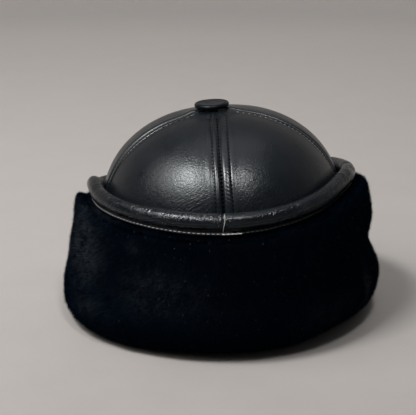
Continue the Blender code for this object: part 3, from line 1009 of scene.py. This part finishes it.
def binding_stitches():
    """The row of stitches through the binding, doubled where it ends beside the join."""
    angle, around_length = even_angles(4000)
    run = np.arange(4000) / 4000 * around_length
    count = int(around_length / BINDING_PITCH)
    starts = np.arange(count) * around_length / count
    shape = np.linspace(-0.5, 0.5, 5)
    lift = np.array([-0.00045, 0.00012, 0.00024, 0.00012, -0.00045])
    profile = BINDING_THREAD * np.array([0.6, 1.0, 1.0, 1.0, 0.6])
    places = np.interp((starts[:, None] + shape * BINDING_STITCH) % around_length, run, angle)
    wander = 0.03 * smooth_noise(oval(places[:, :1], 0, 0), 0.006, 43)
    points, faces = binding_tubes(places, STITCH_DOWN + wander, lift, profile)
    # Painted shade: stitches on the right take the darker copy of the grey thread
    shaded = np.cos(places[:, 2]) > 0.12
    painted_shade_faces = np.concatenate([np.repeat(shaded, len(faces[0]) // count), shaded, shaded])
    piece = add_piece("binding_stitches", points, faces, [grey_thread, painted_shade_thread], painted_shade_faces)
    steps = np.arange(BACK_STITCHES)[:, None] * BACK_PITCH + shape * 0.0031
    places = ROLL_JOIN - 0.014 + steps / ROLL_REACH
    points, faces = binding_tubes(places, 0.66 + 0.03 * shape, lift + 0.0004, profile * 1.35)
    piece = add_piece("binding_back_stitches", points, faces, [pale_thread])


def loose_thread():
    """The pale end of thread that lies over the roll at its join."""
    turn = np.linspace(math.radians(72), math.radians(-58), 26)
    places = ROLL_JOIN + 0.003 - 0.024 * (1 - np.sin(turn)) / 2 + 0.002 * np.sin(4 * turn)
    out = roll_out(places) + (ROLL_HALF_THICK + 0.00035) * np.cos(turn)
    up = roll_height(places) + (ROLL_HALF_TALL + 0.00035) * np.sin(turn)
    path = lean(oval(places, out, up))[None]
    normals = vectors(np.cos(turn) * np.cos(places), np.cos(turn) * np.sin(places), np.sin(turn))
    profile = LOOSE_THREAD * np.concatenate([[0.5], np.ones(24), [0.5]])
    points, faces = tubes(path, normals[None], profile, 8)
    piece = add_piece("join_thread", points, faces, [pale_thread])


# The fur cuff


def spot(row, angle, up):
    """How much a table's row counts at a place, from 1 in its middle to nothing far away."""
    return bell(degrees_from(angle, row["at"]), row["spread"]) * bell(up - row["up"], row["tall"])


def fur_face(angle, share):
    """The pile's outer face, from the roll's seam (share 0) round to the table (share 1)."""
    seam_out, seam = roll_out(angle), seam_height(angle)
    out_share = spline(FUR_SIDE, "out", share)
    up_share = np.maximum(spline(FUR_SIDE, "up", share), 0)
    out = seam_out + (FUR_OUT - seam_out) * out_share
    depth = FUR_OUT * sum(dent["depth"] * spot(dent, angle, up_share) for dent in FUR_DENTS)
    out = out - depth * np.minimum(1.0, 4 * np.maximum(out_share, 0))
    aside = degrees_from(angle, -90)
    tuck = FRONT_TUCK * bell(aside, 40) + RIGHT_TUCK * bell(aside - 52, 22)
    out = out - tuck * np.clip((share - 0.70) / 0.16, 0, 1) * np.clip(out_share / 0.46, 0, 1)
    full = bell(share - 0.060, 0.040)
    out = out + 0.0010 * full
    lip = SIDE_LIP * spline(FUR_SIDE, "lip", share) * np.cos(angle) ** 2
    place = oval(angle, out, seam * up_share + lip + SEAM_FULL * full)
    return lean(place, spline(FUR_SIDE, "lean", share))


def pile_inset(share, least, most):
    """How far under the pile's face a place lies, with little at the face's two ends."""
    inset = least + (most - least) * np.clip(share * FUR_STEPS - 1.2, 0, 1)
    return inset * np.clip((1 - share) * FUR_STEPS, 0.1, 1)


def fur_axes(angle, share):
    """Directions round the hat, down the pile's face and out of it, with the first two's scales."""
    step = 1e-3
    around = (fur_face(angle + step, share) - fur_face(angle - step, share)) / (2 * step)
    low, high = np.maximum(share - step, 0), np.minimum(share + step, 1)
    down = (fur_face(angle, high) - fur_face(angle, low)) / (high - low)[..., None]
    return around, down, unit(np.cross(down, around))


def inner_side(angle):
    """The fold under the crown and the flaps' leather side, from the table up to the roll."""
    seam_out, seam = roll_out(angle), seam_height(angle)
    rows = []
    for row in FOLD_SIDE:
        place = oval(angle, -CROWN_WALL * row["inward"], LEDGE_HEIGHT * row["up"])
        rows.append(lean(place, row["lean"]))
    for row in LEATHER_SIDE:
        height = LEDGE_HEIGHT + (seam - LEDGE_HEIGHT) * row["up"]
        rows.append(lean(oval(angle, seam_out * row["out"], height), row["lean"]))
    return np.stack(rows, axis=-2)


def make_cuff():
    """The flaps' body under the pile: its fur side, the fold and the leather side."""
    around, down = 320, 66
    angle = np.arange(around) * math.tau / around
    share = np.linspace(0, 1, down)
    grid_angle, grid_share = np.meshgrid(angle, share, indexing="ij")
    normal = fur_axes(grid_angle, grid_share)[2]
    inset = pile_inset(grid_share, 0.0006, 0.0030)
    low = fur_face(grid_angle, grid_share) - normal * inset[..., None]
    low[..., 2] = np.maximum(low[..., 2], 0.0006)
    inner = inner_side(angle)
    points = np.concatenate([low, inner], axis=1)
    rows = points.shape[1]
    faces = grid_faces(around, rows, close_rows=True, close_columns=True)
    finish_of_face = (np.arange(len(faces)) % rows >= down + len(FOLD_SIDE) - 1).astype(int)
    piece = add_piece("fur_cuff_body", points.reshape(-1, 3), [faces], [skin, roll_leather], finish_of_face)
    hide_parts("fur_cuff")


def scatter_roots(count, random):
    """Angles and shares of roots spread evenly over the pile's face."""
    columns, rows = 360, 160
    cell_angle = (np.arange(columns) + 0.5) * math.tau / columns
    cell_share = (np.arange(rows) + 0.5) / rows
    grid_angle, grid_share = np.meshgrid(cell_angle, cell_share, indexing="ij")
    around, down, _ = fur_axes(grid_angle, grid_share)
    area = np.linalg.norm(np.cross(around, down), axis=-1)
    place = fur_face(grid_angle, grid_share)
    seen = np.where((place[..., 2] < 0.004) & (grid_share > 0.9), 0.45, 1.0)
    chance = (area * seen).ravel()
    picked = random.choice(len(chance), size=count, p=chance / chance.sum())
    spread = random.random((2, count))
    return (picked // rows + spread[0]) * math.tau / columns, (picked % rows + spread[1]) / rows


def clump_offsets(u, v, random):
    """From each root to the middle of its lock, in metres along the two directions."""
    jitter = random.uniform(0.15, 0.85, (2, CLUMP_CELLS, CLUMP_CELLS))
    steps = np.array(list(itertools.product((-1, 0, 1), repeat=2)))
    column = (np.floor(u / CLUMP_SIZE)[:, None] + steps[:, 0]).astype(int)
    row = (np.floor(v / CLUMP_SIZE)[:, None] + steps[:, 1]).astype(int)
    cell = column % CLUMP_CELLS, row % CLUMP_CELLS
    middle_u = (column + jitter[0][cell]) * CLUMP_SIZE - u[:, None]
    middle_v = (row + jitter[1][cell]) * CLUMP_SIZE - v[:, None]
    nearest = np.arange(len(u)), np.argmin(middle_u**2 + middle_v**2, axis=1)
    key = cell[0] * CLUMP_CELLS + cell[1]
    return middle_u[nearest], middle_v[nearest], key[nearest]


def make_pile(number):
    """One share of the hairs, each a thin triangle from its root to its tip."""
    random = np.random.default_rng(100 + number)
    count = HAIRS_PER_PIECE
    angle, share = scatter_roots(count, random)
    around, down, normal = fur_axes(angle, share)
    round_way, down_way = unit(around), unit(down)
    face = fur_face(angle, share)
    locks = np.random.default_rng(7)
    to_u, to_v, key = clump_offsets(angle * PILE_ROUND, share * PILE_DOWN, locks)
    lock_random = locks.normal(size=(4, CLUMP_CELLS**2))[:, key]
    to_middle = round_way * (to_u * np.linalg.norm(around, axis=-1) / PILE_ROUND)[:, None]
    to_middle = to_middle + down_way * (to_v * np.linalg.norm(down, axis=-1) / PILE_DOWN)[:, None]
    up_share = np.clip(spline(FUR_SIDE, "up", share), 0, 1)
    # How far the pile is brushed up, which turns the hairs and also sets how much painted sheen they get
    raised = np.max([row["pale"] * spot(row, angle, up_share) for row in BRUSHED_AND_SHEEN], axis=0)
    comb = smooth_noise(face, 0.022, 51)
    swirl = smooth_noise(face, 0.009, 53)
    direction = unit(
        normal * (0.90 + 0.10 * raised)[:, None]
        + down_way * (0.42 + 0.20 * comb - 0.25 * raised + 0.14 * lock_random[1])[:, None]
        + round_way * (0.25 * swirl + 0.14 * lock_random[0])[:, None]
        + random.normal(size=(count, 3)) * 0.24
    )
    edge = np.clip(share * FUR_STEPS / 1.6, 0.55, 1)
    length = HAIR_LENGTH * edge * (0.92 + 0.10 * lock_random[2] + 0.16 * random.normal(size=count))
    length = np.clip(length * (1 + 0.12 * swirl), 0.0008, 0.0058)
    root = face - normal * pile_inset(share, 0.0008, 0.0034)[:, None]
    tip = root + direction * length[:, None] + to_middle * random.uniform(0.05, 0.35, count)[:, None]
    lint = random.random(count) < LINT_SHARE
    stray = unit(np.cross(random.normal(size=(count, 3)), normal)) + 0.2 * normal
    root = np.where(lint[:, None], face + normal * 0.0002, root)
    tip = np.where(lint[:, None], root + stray * random.uniform(0.0006, 0.0018, count)[:, None], tip)
    direction = np.where(lint[:, None], unit(stray), direction)
    sideways = unit(np.cross(direction, normal) + random.normal(size=(count, 3)) * 0.35)
    sideways = unit(sideways - direction * np.sum(sideways * direction, axis=-1, keepdims=True))
    facing = np.sum(np.cross(sideways, direction) * normal, axis=-1)
    sideways = np.where(facing[:, None] < 0, -sideways, sideways)
    width = HAIR_WIDTH * random.uniform(0.7, 1.3, count)[:, None] / 2
    points = np.stack([root - sideways * width, root + sideways * width, tip], axis=1)
    points[..., 2] = np.maximum(points[..., 2], 0.0002)
    faces = [np.arange(count * 3).reshape(-1, 3)]
    name = f"fur_cuff_pile_{number + 1}"
    piece = add_piece(name, points.reshape(-1, 3), faces, [fur])
    own = np.cross(points[:, 1] - points[:, 0], points[:, 2] - points[:, 0])
    blended = unit(unit(own) * 0.35 + normal * 0.55 + direction * 0.25)
    speck = lint * (0.02 + 0.40 * random.random(count) ** 4)
    # Painted sheen: brushed-up patches are painted paler, broken into tufts, standing in for the light they
    # catch
    sheen_tufts = 0.65 + 0.40 * smooth_noise(face, 0.0065, 55) + 0.30 * smooth_noise(face, 0.0024, 57)
    sheen_tufts = np.clip(sheen_tufts, 0, 1.6)
    pale = 0.0006 * np.clip(1 + 0.6 * lock_random[3], 0, 3)
    pale = pale + raised * sheen_tufts * np.clip(0.6 + 0.4 * random.normal(size=count), 0.05, 1.6) * 0.22
    mesh = piece.data
    # The attribute pale holds the painted sheen and the lint's own paleness
    tone = mesh.attributes.new("pale", "FLOAT", "POINT")
    tones = np.stack([pale * 0.5 + speck, pale * 0.5 + speck, pale + speck], axis=-1)
    tone.data.foreach_set("value", np.clip(tones, 0, 1).astype(np.float32).ravel())
    mesh.normals_split_custom_set_from_vertices(np.repeat(blended, 3, axis=0))


# The stage


def make_stage():
    """A plain pale floor that curves up into a backdrop all round, with painted shade making it darker
    towards the front and painted light making it paler towards the back.
    """
    look = Nodes("studio_floor")
    # Painted shade and light: darker towards the front and paler towards the back, with faint clouds of tone
    away = look.between(look.parts(look.place)[1], -0.35, 1.30, 0.0, 0.90)
    away = look.add(away, look.times(look.noise(0.06, 5.0, 0.6), 0.10))
    look.set(
        Base_Color=look.blend(away, (0.245, 0.240, 0.238), (0.64, 0.622, 0.61)),
        Normal=look.bump(look.noise(0.004, 5.0, 0.65), 0.00015),
        Roughness=0.62,
        Specular_IOR_Level=0.3,
    )
    sides = 96
    turn = np.arange(sides) * math.tau / sides
    bend = np.linspace(0, math.pi / 2, 13)
    radius = np.concatenate([[0.4, 0.8, 1.2], 1.6 + 0.8 * np.sin(bend), [2.4]])
    height = np.concatenate([[0, 0, 0], 0.8 - 0.8 * np.cos(bend), [2.6]])
    radius, height = radius[:, None], height[:, None]
    rings = vectors(radius * np.cos(turn), radius * np.sin(turn), height)
    points = np.concatenate([rings.reshape(-1, 3), [[0, 0, 0]]])
    centre = vectors(np.arange(sides), (np.arange(sides) + 1) % sides, len(points) - 1)
    faces = grid_faces(len(radius), sides, close_columns=True)[:, ::-1]
    mesh = bpy.data.meshes.new("floor")
    mesh.from_pydata(points.tolist(), [], faces.tolist() + centre.tolist())
    mesh.materials.append(look.material)
    mesh.shade_smooth()
    floor = bpy.data.objects.new("floor", mesh)
    bpy.context.scene.collection.objects.link(floor)


def add_softbox(name, azimuth, elevation, distance, size, power):
    """A soft lamp seen from the hat at those degrees, from the front and to its right."""
    lamp = bpy.data.lights.new(name, "AREA")
    lamp.shape = "RECTANGLE"
    lamp.size, lamp.size_y = size
    lamp.energy = power
    lamp.color = LAMPS_COLOUR
    holder = bpy.data.objects.new(name, lamp)
    bpy.context.scene.collection.objects.link(holder)
    a, e = math.radians(azimuth), math.radians(elevation)
    way = np.array([math.sin(a) * math.cos(e), -math.cos(a) * math.cos(e), math.sin(e)])
    holder.location = np.array(LAMPS_AIM) + way * distance
    holder.rotation_euler = (math.pi / 2 - e, 0, a)


def make_camera():
    camera = bpy.data.objects.new("photo_camera", bpy.data.cameras.new("photo_camera"))
    camera.data.sensor_width = 36
    camera.data.lens = VIEW_LENS
    camera.location = VIEW_PLACE
    camera.rotation_euler = (math.pi / 2 - VIEW_DOWN, 0, 0)
    bpy.context.scene.collection.objects.link(camera)
    bpy.context.scene.camera = camera


def make_world():
    world = bpy.data.worlds.new("studio")
    world.use_nodes = True
    backdrop = world.node_tree.nodes["Background"]
    backdrop.inputs["Color"].default_value = (0.80, 0.81, 0.83, 1.0)
    backdrop.inputs["Strength"].default_value = 0.25
    bpy.context.scene.world = world
    bpy.context.scene.view_settings.view_transform = "Standard"


for panel in range(PANELS):
    make_crown_panel(panel)
stitch_rows()
groove_stitches()
make_button()
make_roll()
make_binding()
binding_stitches()
loose_thread()
make_cuff()
for part in range(HAIR_PIECES):
    make_pile(part)
make_stage()
add_softbox("key_softbox", -50, 60, 1.5, (0.46, 0.23), 17.5)
add_softbox("wide_softbox", -66, 49, 1.55, (1.20, 0.80), 11.5)
add_softbox("right_softbox", 15, 62, 1.5, (0.20, 0.22), 7.5)
add_softbox("top_softbox", 170, 80, 1.7, (1.2, 1.2), 3)
make_camera()
make_world()
